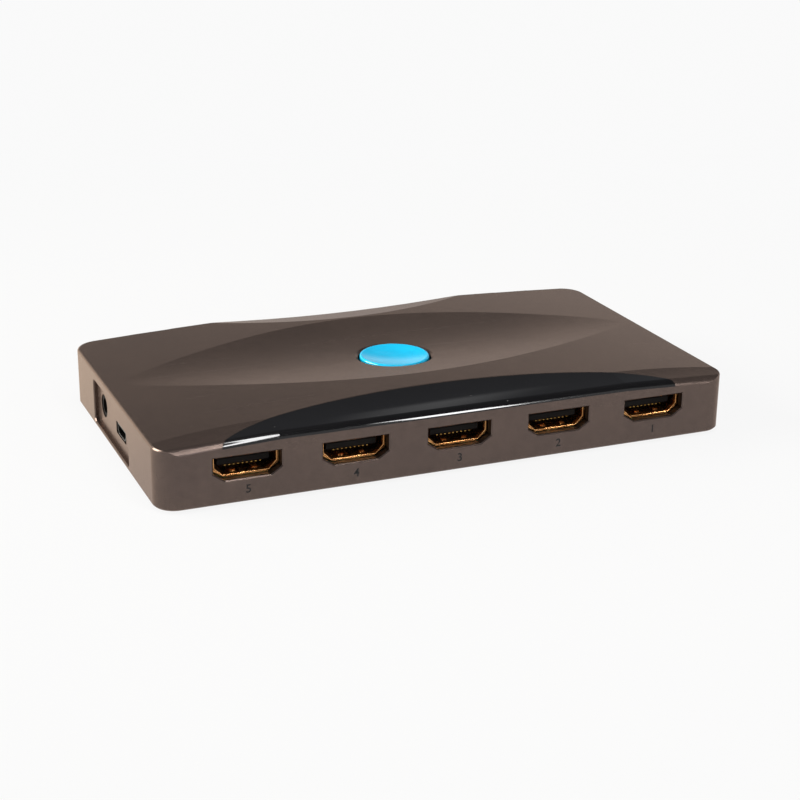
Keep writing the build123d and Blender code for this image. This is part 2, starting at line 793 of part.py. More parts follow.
with BuildPart() as round_jack_body:
    with BuildSketch(Plane.XZ.offset(-jack_body_start)) as jack_section:
        with Locations((0, jack_axis_height)):
            Rectangle(jack_width, jack_height)
        chamfer(jack_section.vertices().group_by(Axis.Y)[-1], jack_edge)
    extrude(amount=-jack_length)
    with BuildSketch(Plane.XZ):
        with Locations((0, jack_axis_height)):
            Circle(jack_nose_radius)
    extrude(amount=-jack_body_start)
    with BuildSketch(Plane.XZ):
        with Locations((0, jack_axis_height)):
            Circle(jack_bore_radius)
    extrude(amount=jack_end_wall - jack_body_end, mode=Mode.SUBTRACT)
    with BuildSketch(Plane.XZ):
        with Locations((0, jack_axis_height)):
            Circle(jack_bush_radius)
    extrude(amount=-jack_bush_length, mode=Mode.SUBTRACT)
    with BuildSketch(Plane.XZ.offset(-jack_spring_start)):
        with Locations((0, (jack_clip_low + jack_clip_high) / 2)):
            Rectangle(jack_width, jack_clip_high - jack_clip_low)
    extrude(amount=-jack_spring_length, mode=Mode.SUBTRACT)

with BuildPart() as round_jack_bush:
    with BuildSketch(Plane.XZ):
        with Locations((0, jack_axis_height)):
            Circle(jack_bush_radius)
            Circle(jack_bore_radius, mode=Mode.SUBTRACT)
    extrude(amount=-jack_bush_length)

for name, piece in (("jack_body", round_jack_body), ("jack_bush", round_jack_bush),
                    ("jack_contacts", round_jack_clips)):
    with BuildPart() as seated:
        with Locations(Location((jack_mouth, jack_place, board_top), (0, 0, -90))):
            add(piece.part)
    seated.part.label = name
    export_step(seated.part, f"parts/{name}.step")

# Push button: a domed cap with a skirt, ribs, a stem and three lugs that hold it in the roof
with BuildPart() as select_button:
    with BuildSketch(Plane.XZ):
        with BuildLine():
            crown_arc = RadiusArc((0, button_crest), (button_radius - button_edge, button_rim),
                                  button_arc_radius)
            RadiusArc(crown_arc @ 1, (button_radius, button_rim - button_edge), button_edge)
            Polyline((button_radius, button_rim - button_edge), (button_radius, skirt_foot),
                     (button_radius - button_skirt, skirt_foot),
                     (button_radius - button_skirt, button_ceiling), (stem_radius, button_ceiling),
                     (stem_radius, plunger_crest), (0, plunger_crest), (0, button_crest))
        make_face()
    revolve(axis=Axis.Z)
    with BuildSketch(Plane.XY.offset(skirt_foot)):
        with PolarLocations(button_radius + lug_reach / 2 - button_skirt / 4, lug_count):
            Rectangle(lug_reach + button_skirt / 2, lug_width)
    extrude(amount=lug_height)
    with BuildSketch(Plane.XY.offset(button_ceiling - rib_height)):
        Rectangle(2 * (button_radius - button_skirt / 2), rib_width)
        Rectangle(rib_width, 2 * (button_radius - button_skirt / 2))
    extrude(amount=rib_height + button_roof / 2)

select_button.part.label = "select_button"
export_step(select_button.part, "parts/select_button.step")

# Push switch on the board under the button: base, cover plate, plunger, dome and terminals
with BuildPart() as switch_base:
    with BuildSketch(Plane.XY.offset(board_top)) as switch_plan:
        Rectangle(switch_side, switch_side)
        chamfer(switch_plan.vertices(), switch_corner)
    extrude(amount=switch_top - board_top)
    with BuildSketch(Plane.XY.offset(board_top + switch_floor)):
        Circle(switch_well_radius)
    extrude(amount=switch_top, mode=Mode.SUBTRACT)

switch_base.part.label = "switch_base"
export_step(switch_base.part, "parts/switch_base.step")

with BuildPart() as switch_cover:
    with BuildSketch(Plane.XY.offset(switch_top)):
        Rectangle(switch_side + 2 * switch_cover_sheet, switch_side - 2 * switch_corner)
        Circle(switch_cover_hole, mode=Mode.SUBTRACT)
    extrude(amount=switch_cover_sheet)
    with BuildSketch(Plane.XY.offset(switch_top - switch_skirt)):
        with GridLocations(switch_side + switch_cover_sheet, 0, 2, 1):
            Rectangle(switch_cover_sheet, switch_side - 2 * switch_corner)
    extrude(amount=switch_skirt)

switch_cover.part.label = "switch_cover"
export_step(switch_cover.part, "parts/switch_cover.step")

with BuildPart() as switch_plunger:
    with BuildSketch(Plane.XY.offset(plunger_foot)):
        Circle(plunger_foot_radius)
    extrude(amount=plunger_foot_height)
    with BuildSketch(Plane.XY.offset(plunger_foot)):
        Circle(plunger_radius)
    extrude(amount=plunger_crest - plunger_foot)

switch_plunger.part.label = "switch_plunger"
export_step(switch_plunger.part, "parts/switch_plunger.step")

with BuildPart() as switch_dome:
    with BuildSketch(Plane.XZ):
        with BuildLine():
            RadiusArc((0, dome_floor + dome_rise), (dome_radius, dome_floor), dome_arc_radius)
            Line((dome_radius, dome_floor), (dome_inner, dome_floor))
            RadiusArc((dome_inner, dome_floor), (0, dome_floor + dome_rise - dome_sheet),
                      dome_sheet - dome_arc_radius)
            Line((0, dome_floor + dome_rise - dome_sheet), (0, dome_floor + dome_rise))
        make_face()
    revolve(axis=Axis.Z)

switch_dome.part.label = "switch_dome"
export_step(switch_dome.part, "parts/switch_dome.step")

with BuildPart() as switch_terminals:
    with BuildSketch(Plane.XZ.offset(-terminal_width / 2)):
        with BuildLine():
            Polyline((switch_side / 2, board_top), (switch_side / 2, board_top + terminal_height),
                     (switch_side / 2 + terminal_sheet, board_top + terminal_height),
                     (switch_side / 2 + terminal_sheet, board_top + terminal_sheet),
                     (switch_side / 2 + terminal_foot, board_top + terminal_sheet),
                     (switch_side / 2 + terminal_foot, board_top), close=True)
        make_face()
        mirror(about=Plane.YZ)
    terminals = extrude(amount=terminal_width, mode=Mode.PRIVATE)
    with Locations((0, -terminal_spacing / 2, 0), (0, terminal_spacing / 2, 0)):
        add(terminals)

switch_terminals.part.label = "switch_terminals"
export_step(switch_terminals.part, "parts/switch_terminals.step")

# Indicator lamps, one behind each input socket
with BuildPart() as indicator_lamps:
    with BuildSketch(Plane.XY.offset(board_top)):
        with Locations(*[(x, lamp_y) for x in port_places]):
            Rectangle(lamp_length, lamp_width)
    extrude(amount=lamp_height)

indicator_lamps.part.label = "indicator_lamps"
export_step(indicator_lamps.part, "parts/indicator_lamps.step")

# Clear light guide: a leg on each lamp, an arm over each socket and a tip under the window
with BuildPart() as light_guide:
    with BuildSketch(Plane.XY.offset(board_top + lamp_height + lamp_gap)):
        with Locations(*[(x, lamp_y) for x in port_places]):
            Rectangle(guide_width, guide_leg)
    extrude(amount=arm_top - board_top - lamp_height - lamp_gap)
    with BuildSketch(Plane.XY.offset(arm_floor)):
        with Locations(*[(x, (light_y - light_tip_radius + lamp_y) / 2) for x in port_places]):
            Rectangle(guide_width, lamp_y - light_y + light_tip_radius)
        with Locations((0, lamp_y)):
            Rectangle(port_places[-1] - port_places[0], guide_rail)
    extrude(amount=guide_thickness)
    with BuildSketch(Plane.XY.offset(arm_floor)):
        with Locations(*[(x, light_y) for x in port_places]):
            Circle(light_tip_radius)
    extrude(amount=light_tip - arm_floor)

light_guide.part.label = "light_guide"
export_step(light_guide.part, "parts/light_guide.step")

# Main chip, control chip and voltage regulator
chips = (("switch_chip", chip_side, chip_side, chip_height, chip_place_x, chip_place_y),
         ("control_chip", controller_length, controller_width, controller_height,
          controller_inset - half_width, controller_y),
         ("regulator", regulator_length, regulator_width, regulator_height,
          regulator_inset - half_width, regulator_y))
for name, length, width, height, x, y in chips:
    with BuildPart() as chip:
        with BuildSketch(Plane.XY.offset(board_top)):
            with Locations((x, y)):
                Rectangle(length, width)
        extrude(amount=height)
        chamfer(chip.faces().sort_by(Axis.Z)[-1].edges(), chip_edge)
    chip.part.label = name
    export_step(chip.part, f"parts/{name}.step")

# Two can capacitors, each on a square base
with BuildPart() as capacitors:
    with BuildSketch(Plane.XY.offset(board_top)):
        with Locations((can_x, can_y), (can_x + can_pitch, can_y)):
            Rectangle(2 * can_radius, 2 * can_radius)
    extrude(amount=can_base)
    with BuildSketch(Plane.XY.offset(board_top + can_base)):
        with Locations((can_x, can_y), (can_x + can_pitch, can_y)):
            Circle(can_radius)
    extrude(amount=can_height - can_base)
    chamfer(capacitors.edges().group_by(Axis.Z)[-1], can_edge)

capacitors.part.label = "capacitors"
export_step(capacitors.part, "parts/capacitors.step")

# Crystal in its oval can
with BuildPart() as crystal:
    with BuildSketch(Plane.XY.offset(board_top)):
        with Locations((crystal_inset - half_width, crystal_y)):
            SlotOverall(crystal_length, crystal_width)
    extrude(amount=crystal_height)

crystal.part.label = "crystal"
export_step(crystal.part, "parts/crystal.step")

# Small resistors and capacitors in a row behind each input socket
with BuildPart() as small_parts:
    with BuildSketch(Plane.XY.offset(board_top)):
        for x in port_places:
            with Locations((x, lamp_y + small_row)):
                with GridLocations(small_pitch, 0, small_per_port, 1):
                    Rectangle(small_width, small_length)
    extrude(amount=small_height)

small_parts.part.label = "small_parts"
export_step(small_parts.part, "parts/small_parts.step")
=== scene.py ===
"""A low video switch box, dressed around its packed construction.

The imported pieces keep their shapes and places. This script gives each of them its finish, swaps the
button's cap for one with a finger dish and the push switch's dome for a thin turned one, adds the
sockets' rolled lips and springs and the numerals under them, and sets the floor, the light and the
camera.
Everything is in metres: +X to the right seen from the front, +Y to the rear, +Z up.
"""

import json
import logging
import math
from dataclasses import dataclass, field
from enum import Enum
from functools import cache

import bpy
from mathutils import Matrix, Vector


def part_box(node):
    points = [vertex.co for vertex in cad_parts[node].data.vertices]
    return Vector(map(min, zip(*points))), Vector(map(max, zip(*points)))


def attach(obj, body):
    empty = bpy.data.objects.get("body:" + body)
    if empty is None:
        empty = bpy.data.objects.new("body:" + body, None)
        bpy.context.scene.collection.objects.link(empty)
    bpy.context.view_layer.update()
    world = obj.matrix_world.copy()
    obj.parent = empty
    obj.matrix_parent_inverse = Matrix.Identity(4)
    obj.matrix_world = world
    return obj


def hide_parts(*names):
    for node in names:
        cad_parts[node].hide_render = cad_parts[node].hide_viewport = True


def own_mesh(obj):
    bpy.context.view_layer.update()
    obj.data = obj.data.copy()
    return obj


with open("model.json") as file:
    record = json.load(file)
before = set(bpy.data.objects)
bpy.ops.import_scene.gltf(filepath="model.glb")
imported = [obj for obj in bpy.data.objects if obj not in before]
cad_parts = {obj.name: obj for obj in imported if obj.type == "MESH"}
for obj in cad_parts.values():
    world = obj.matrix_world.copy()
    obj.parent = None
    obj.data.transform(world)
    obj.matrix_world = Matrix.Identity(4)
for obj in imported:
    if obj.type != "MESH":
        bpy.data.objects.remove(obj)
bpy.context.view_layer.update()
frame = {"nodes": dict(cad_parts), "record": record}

MM = 0.001
INPUTS = 5
SOCKETS = [*(f"input_{number}" for number in range(1, INPUTS + 1)), "output"]
SMOOTH_BELOW = math.radians(40)      # edges flatter than this are shaded smooth
EDGE_SEGMENTS = 3                    # on a rounded edge

logging.basicConfig(level=logging.INFO, format="%(message)s")
log = logging.getLogger("switch_box")

Color = tuple[float, float, float]
Point = tuple[float, float, float]
PALE: Color = (0.953, 0.953, 0.953)  # how the floor and the room show behind the object


def linear(byte: int) -> float:
    """Returns the linear share that a screen's byte, from 0 to 255, stands for on the sRGB curve."""
    value = byte / 255
    return value / 12.92 if value <= 0.04045 else ((value + 0.055) / 1.055) ** 2.4


def from_bytes(red: int, green: int, blue: int) -> Color:
    """Turns a colour as screens write it into the linear one that shaders take.

    Args:
        red, green, blue: the colour's bytes, from 0 to 255.

    Returns:
        The linear colour.
    """
    return linear(red), linear(green), linear(blue)


class Body(Enum):
    """The bodies that pieces ride on."""

    CASE = "case"
    BUTTON = "button"


class Graph:
    """One node tree, with short ways to add nodes and to join their sockets."""

    def __init__(self, tree: bpy.types.NodeTree) -> None:
        """Takes the tree that nodes are added to."""
        self.tree = tree

    def add(self, kind: str, feeds: dict[str | int, object] | None = None,
            **settings: object) -> bpy.types.Node:
        """Adds a node.

        Args:
            kind: the node's type, without its ShaderNode prefix.
            feeds: a value or an output socket for each named or numbered input.
            settings: the node's own properties.

        Returns:
            The new node.
        """
        node = self.tree.nodes.new(kind if kind.startswith("Node") else "ShaderNode" + kind)
        for name, value in settings.items():
            setattr(node, name, value)
        for name, value in (feeds or {}).items():
            self.feed(node, name, value)
        return node

    def feed(self, node: bpy.types.Node, name: str | int, value: object) -> None:
        """Joins an output to a node's input, or sets that input's own value.

        Args:
            node: the node that is fed.
            name: the input's name or number.
            value: an output socket, or the value itself.
        """
        socket = node.inputs[name]
        if isinstance(value, bpy.types.NodeSocket):
            self.tree.links.new(value, socket)
        elif socket.type == "RGBA" and len(value) == 3:
            socket.default_value = (*value, 1.0)
        else:
            socket.default_value = value

    def math(self, operation: str, first: object, second: object = 0.0) -> bpy.types.NodeSocket:
        """Returns the output of a Math node on two values or sockets."""
        return self.add("Math", {0: first, 1: second}, operation=operation).outputs[0]

    def ramp(self, value: object, low: float, high: float, to_low: float = 0.0,
             to_high: float = 1.0) -> bpy.types.NodeSocket:
        """Returns value mapped smoothly from the range low..high to the range to_low..to_high."""
        feeds = {"Value": value, "From Min": low, "From Max": high, "To Min": to_low, "To Max": to_high}
        return self.add("MapRange", feeds, interpolation_type="SMOOTHSTEP").outputs["Result"]

    def mix(self, share: object, first: object, second: object, kind: str = "RGBA",
            blend: str = "MIX") -> bpy.types.NodeSocket:
        """Returns a mix of two colours or values, in which the second one has the share."""
        feeds = {"Factor": share, "A": first, "B": second}
        return self.add("Mix", feeds, data_type=kind, blend_type=blend).outputs["Result"]


class Effects:
    """Surface effects that several finishes share, each a node group that is built once."""

    PATCH_EDGE = (0.3, 0.7)          # the part of a noise's range over which one tone turns to the other
    RUB_EDGE = (0.55, 0.75)          # the part of a noise's range over which a rub sets in
    WIDE_SCALE = 0.17                # the wide grain's scale, as a share of the fine grain's
    WIDE_SHARE = 0.35                # the wide grain's share of the height

    @staticmethod
    def group(name: str, inputs: dict[str, tuple[str, object]],
              outputs: dict[str, str]) -> tuple[bpy.types.NodeTree, Graph, bpy.types.Node, bpy.types.Node]:
        """Starts a node group with its sockets.

        Args:
            name: the group's name.
            inputs: kind of socket and default value for each input's name.
            outputs: kind of socket for each output's name.

        Returns:
            The tree, its Graph, and its input and output nodes.
        """
        tree = bpy.data.node_groups.new(name, "ShaderNodeTree")
        for label, (kind, value) in inputs.items():
            socket = tree.interface.new_socket(label, in_out="INPUT", socket_type=kind)
            if value is not None:
                socket.default_value = value
        for label, kind in outputs.items():
            tree.interface.new_socket(label, in_out="OUTPUT", socket_type=kind)
        graph = Graph(tree)
        return tree, graph, graph.add("NodeGroupInput"), graph.add("NodeGroupOutput")

    @classmethod
    @cache
    def mottle(cls) -> bpy.types.NodeTree:
        """Builds a colour that drifts between two tones in soft patches.

        Returns:
            The node group.
        """
        tree, graph, given, out = cls.group(
            "mottle",
            {"Vector": ("NodeSocketVector", None), "Scale": ("NodeSocketFloat", 60.0),
             "First": ("NodeSocketColor", None), "Second": ("NodeSocketColor", None)},
            {"Color": "NodeSocketColor"})
        noise = graph.add("TexNoise", {"Vector": given.outputs["Vector"], "Scale": given.outputs["Scale"],
                                       "Detail": 4.0, "Roughness": 0.55})
        patch = graph.ramp(noise.outputs["Fac"], *cls.PATCH_EDGE)
        graph.feed(out, "Color", graph.mix(patch, given.outputs["First"], given.outputs["Second"]))
        return tree

    @classmethod
    @cache
    def grain(cls) -> bpy.types.NodeTree:
        """Builds fine grain in two sizes, as a value about a half and as a height.

        Returns:
            The node group.
        """
        tree, graph, given, out = cls.group(
            "grain",
            {"Vector": ("NodeSocketVector", None), "Scale": ("NodeSocketFloat", 6000.0)},
            {"Value": "NodeSocketFloat", "Height": "NodeSocketFloat"})
        fine = graph.add("TexNoise", {"Vector": given.outputs["Vector"], "Scale": given.outputs["Scale"],
                                      "Detail": 2.0, "Roughness": 0.6})
        wide_scale = graph.math("MULTIPLY", given.outputs["Scale"], cls.WIDE_SCALE)
        wide = graph.add("TexNoise", {"Vector": given.outputs["Vector"], "Scale": wide_scale,
                                      "Detail": 3.0})
        both = graph.math("ADD", graph.math("MULTIPLY", fine.outputs["Fac"], 1 - cls.WIDE_SHARE),
                          graph.math("MULTIPLY", wide.outputs["Fac"], cls.WIDE_SHARE))
        graph.feed(out, "Value", graph.ramp(both, *cls.PATCH_EDGE))
        graph.feed(out, "Height", both)
        return tree

    @classmethod
    @cache
    def dust(cls) -> bpy.types.NodeTree:
        """Builds sparse specks of dust, as a mask.

        Returns:
            The node group.
        """
        tree, graph, given, out = cls.group(
            "dust",
            {"Vector": ("NodeSocketVector", None), "Scale": ("NodeSocketFloat", 260.0),
             "Size": ("NodeSocketFloat", 0.05), "Share": ("NodeSocketFloat", 0.4)},
            {"Mask": "NodeSocketFloat"})
        cells = graph.add("TexVoronoi", {"Vector": given.outputs["Vector"], "Scale": given.outputs["Scale"]})
        speck = graph.math("LESS_THAN", cells.outputs["Distance"], given.outputs["Size"])
        pick = graph.add("SeparateColor", {"Color": cells.outputs["Color"]})
        chosen = graph.math("LESS_THAN", pick.outputs["Red"], given.outputs["Share"])
        graph.feed(out, "Mask", graph.math("MULTIPLY", speck, chosen))
        return tree

    @classmethod
    @cache
    def rubs(cls) -> bpy.types.NodeTree:
        """Builds faint straight rubs along X from wiping, as a mask.

        Returns:
            The node group.
        """
        tree, graph, given, out = cls.group(
            "rubs",
            {"Vector": ("NodeSocketVector", None), "Scale": ("NodeSocketFloat", 300.0),
             "Length": ("NodeSocketFloat", 0.06)},
            {"Mask": "NodeSocketFloat"})
        stretch = graph.add("CombineXYZ", {"X": given.outputs["Length"], "Y": 1.0, "Z": 1.0})
        drawn = graph.add("VectorMath", {0: given.outputs["Vector"], 1: stretch.outputs[0]},
                          operation="MULTIPLY")
        noise = graph.add("TexNoise", {"Vector": drawn.outputs[0], "Scale": given.outputs["Scale"],
                                       "Detail": 3.0, "Distortion": 0.3})
        graph.feed(out, "Mask", graph.ramp(noise.outputs["Fac"], *cls.RUB_EDGE))
        return tree

    @classmethod
    @cache
    def core(cls) -> bpy.types.NodeTree:
        """Builds where painted shade darkens the inside of the case's walls, as a mask.

        It is what lies inside a box with rounded corners.

        Returns:
            The node group.
        """
        tree, graph, given, out = cls.group(
            "core",
            {"Vector": ("NodeSocketVector", None), "Half Length": ("NodeSocketFloat", 0.06),
             "Half Depth": ("NodeSocketFloat", 0.03), "Corner": ("NodeSocketFloat", 0.005),
             "Top": ("NodeSocketFloat", 0.01)},
            {"Mask": "NodeSocketFloat"})
        parts = graph.add("SeparateXYZ", {"Vector": given.outputs["Vector"]})
        beyond = []
        for axis, half in (("X", "Half Length"), ("Y", "Half Depth")):
            straight = graph.math("SUBTRACT", given.outputs[half], given.outputs["Corner"])
            past = graph.math("SUBTRACT", graph.math("ABSOLUTE", parts.outputs[axis]), straight)
            beyond.append(graph.math("POWER", graph.math("MAXIMUM", past, 0.0), 2.0))
        away = graph.math("SQRT", graph.math("ADD", *beyond))
        inside = graph.math("LESS_THAN", away, given.outputs["Corner"])
        below = graph.math("LESS_THAN", parts.outputs["Z"], given.outputs["Top"])
        graph.feed(out, "Mask", graph.math("MULTIPLY", inside, below))
        return tree


@dataclass(frozen=True)
class Finish:
    """A surface finish: its two tones, its gloss, and the grain that shows in both.

    Scales are in features per metre, and depths in metres.
    """

    name: str
    tone: Color
    second_tone: Color
    roughness: float = 0.5
    roughness_spread: float = 0.06
    metallic: float = 0.0
    mottle_scale: float = 90.0
    grain_scale: float = 6000.0
    grain_depth: float = 3e-6
    tint: Color = (1.0, 1.0, 1.0)
    settings: dict[str, float] = field(default_factory=dict)

    def build(self) -> bpy.types.Material:
        """Makes the material.

        Returns:
            The new material, with its Principled shader fed by the shared effects.
        """
        material = bpy.data.materials.new(self.name)
        material.use_nodes = True
        material.node_tree.nodes.clear()
        graph = Graph(material.node_tree)
        place = graph.add("TexCoord").outputs["Object"]
        shader = graph.add("BsdfPrincipled", {"Metallic": self.metallic, "Specular Tint": self.tint})
        for name, value in self.settings.items():
            shader.inputs[name].default_value = value
        out = graph.add("OutputMaterial", {"Surface": shader.outputs["BSDF"]})
        out.is_active_output = True
        self.paint(graph, place, shader)
        return material

    def effect(self, graph: Graph, tree: bpy.types.NodeTree, **feeds: object) -> bpy.types.Node:
        """Places a shared effect in this finish, with its own values.

        Args:
            graph: the material's tree.
            tree: the effect's node group.
            feeds: a value or an output socket for each input, whose name is written in small letters.

        Returns:
            The node that holds the effect.
        """
        node = graph.add("Group", node_tree=tree)
        for name, value in feeds.items():
            graph.feed(node, name.replace("_", " ").title(), value)
        return node

    def paint(self, graph: Graph, place: bpy.types.NodeSocket, shader: bpy.types.Node) -> None:
        """Feeds the shader's colour, roughness and normal.

        Args:
            graph: the material's tree.
            place: the point on the surface, in metres.
            shader: the Principled shader.
        """
        color = self.color(graph, place)
        grain = self.effect(graph, Effects.grain(), vector=place, scale=self.grain_scale)
        spread = self.roughness_spread
        rough = graph.ramp(grain.outputs["Value"], 0.0, 1.0, self.roughness - spread, self.roughness + spread)
        bump = graph.add("Bump", {"Height": grain.outputs["Height"], "Distance": self.grain_depth,
                                  "Strength": 1.0})
        graph.feed(shader, "Base Color", color)
        graph.feed(shader, "Roughness", rough)
        graph.feed(shader, "Normal", bump.outputs["Normal"])

    def color(self, graph: Graph, place: bpy.types.NodeSocket) -> bpy.types.NodeSocket:
        """Mixes the colour that drifts between the two tones.

        Args:
            graph: the material's tree.
            place: the point on the surface, in metres.

        Returns:
            The colour's output.
        """
        patches = self.effect(graph, Effects.mottle(), vector=place, scale=self.mottle_scale,
                              first=self.tone, second=self.second_tone)
        return patches.outputs["Color"]


@dataclass(frozen=True)
class DustedFinish(Finish):
    """A glossy finish that shows specks of dust and the faint rubs of a cloth."""

    dust_tone: Color = (0.5, 0.5, 0.5)
    dust_scale: float = 260.0
    dust_size: float = 0.045
    dust_share: float = 0.25
    rub_roughness: float = 0.05

    def paint(self, graph: Graph, place: bpy.types.NodeSocket, shader: bpy.types.Node) -> None:
        """Feeds the shader as a plain finish does, then lays the dust and the rubs over it.

        Args:
            graph: the material's tree.
            place: the point on the surface, in metres.
            shader: the Principled shader.
        """
        super().paint(graph, place, shader)
        dust = self.effect(graph, Effects.dust(), vector=place, scale=self.dust_scale,
                           size=self.dust_size, share=self.dust_share)
        rubs = self.effect(graph, Effects.rubs(), vector=place)
        clean_color = shader.inputs["Base Color"].links[0].from_socket
        clean_rough = shader.inputs["Roughness"].links[0].from_socket
        dusty = graph.mix(dust.outputs["Mask"], clean_color, self.dust_tone)
        rubbed = graph.math("ADD", clean_rough,
                            graph.math("MULTIPLY", rubs.outputs["Mask"], self.rub_roughness))
        graph.feed(shader, "Base Color", dusty)
        graph.feed(shader, "Roughness", graph.math("MAXIMUM", rubbed, dust.outputs["Mask"]))


@dataclass(frozen=True)
class CoatedFinish(DustedFinish):
    """A metallic coat, with painted shade: a dark tone inside the case's walls, in the socket cut-outs and
    the side recess.
    """

    # painted shade: inside this box and below its top, the colour turns dark and the gloss dull, for the
    # shade in the cut-outs and the recess
    bare_tone: Color = (0.01, 0.01, 0.01)
    bare_roughness: float = 0.55
    flake_scale: float = 2600.0
    flake_tone: Color = (1.16, 1.15, 1.14)       # what a flake multiplies the coat's colour by
    between_tone: Color = (0.9, 0.9, 0.9)        # and what it is multiplied by between the flakes
    coat_length: float = 137.5 * MM
    coat_depth: float = 77.5 * MM
    coat_corner: float = 8.0 * MM
    coat_floor: float = 13.2 * MM

    def paint(self, graph: Graph, place: bpy.types.NodeSocket, shader: bpy.types.Node) -> None:
        """Feeds the shader as a dusted finish does, then adds the flakes and the painted shade inside the
        walls.

        Args:
            graph: the material's tree.
            place: the point on the surface, in metres.
            shader: the Principled shader.
        """
        super().paint(graph, place, shader)
        core = self.effect(graph, Effects.core(), vector=place, half_length=self.coat_length / 2,
                           half_depth=self.coat_depth / 2, corner=self.coat_corner,
                           top=self.coat_floor).outputs["Mask"]
        coat_color = shader.inputs["Base Color"].links[0].from_socket
        coat_rough = shader.inputs["Roughness"].links[0].from_socket
        flakes = self.effect(graph, Effects.grain(), vector=place, scale=self.flake_scale).outputs["Value"]
        glint = graph.mix(flakes, self.between_tone, self.flake_tone)
        coat_color = graph.mix(1.0, coat_color, glint, blend="MULTIPLY")
        # painted shade inside the case's walls
        graph.feed(shader, "Base Color", graph.mix(core, coat_color, self.bare_tone))
        graph.feed(shader, "Roughness", graph.mix(core, coat_rough, self.bare_roughness, kind="FLOAT"))
        graph.feed(shader, "Metallic", graph.ramp(core, 0.0, 1.0, self.metallic, 0.0))


@dataclass(frozen=True)
class BoardFinish(Finish):
    """Solder mask over copper: tracks that show through it as paler lines."""

    track_tone: Color = (0.05, 0.3, 0.12)
    track_scale: float = 420.0

    def color(self, graph: Graph, place: bpy.types.NodeSocket) -> bpy.types.NodeSocket:
        """Mixes the mottled green with the tracks' paler one over it.

        Args:
            graph: the material's tree.
            place: the point on the surface, in metres.

        Returns:
            The colour's output.
        """
        ground = super().color(graph, place)
        tracks = graph.add("TexBrick", {"Vector": place, "Scale": self.track_scale, "Mortar Size": 0.09,
                                        "Mortar Smooth": 0.1, "Brick Width": 2.6, "Row Height": 0.45,
                                        "Color1": (0.0, 0.0, 0.0), "Color2": (0.0, 0.0, 0.0),
                                        "Mortar": (1.0, 1.0, 1.0)})
        return graph.mix(tracks.outputs["Fac"], ground, self.track_tone)


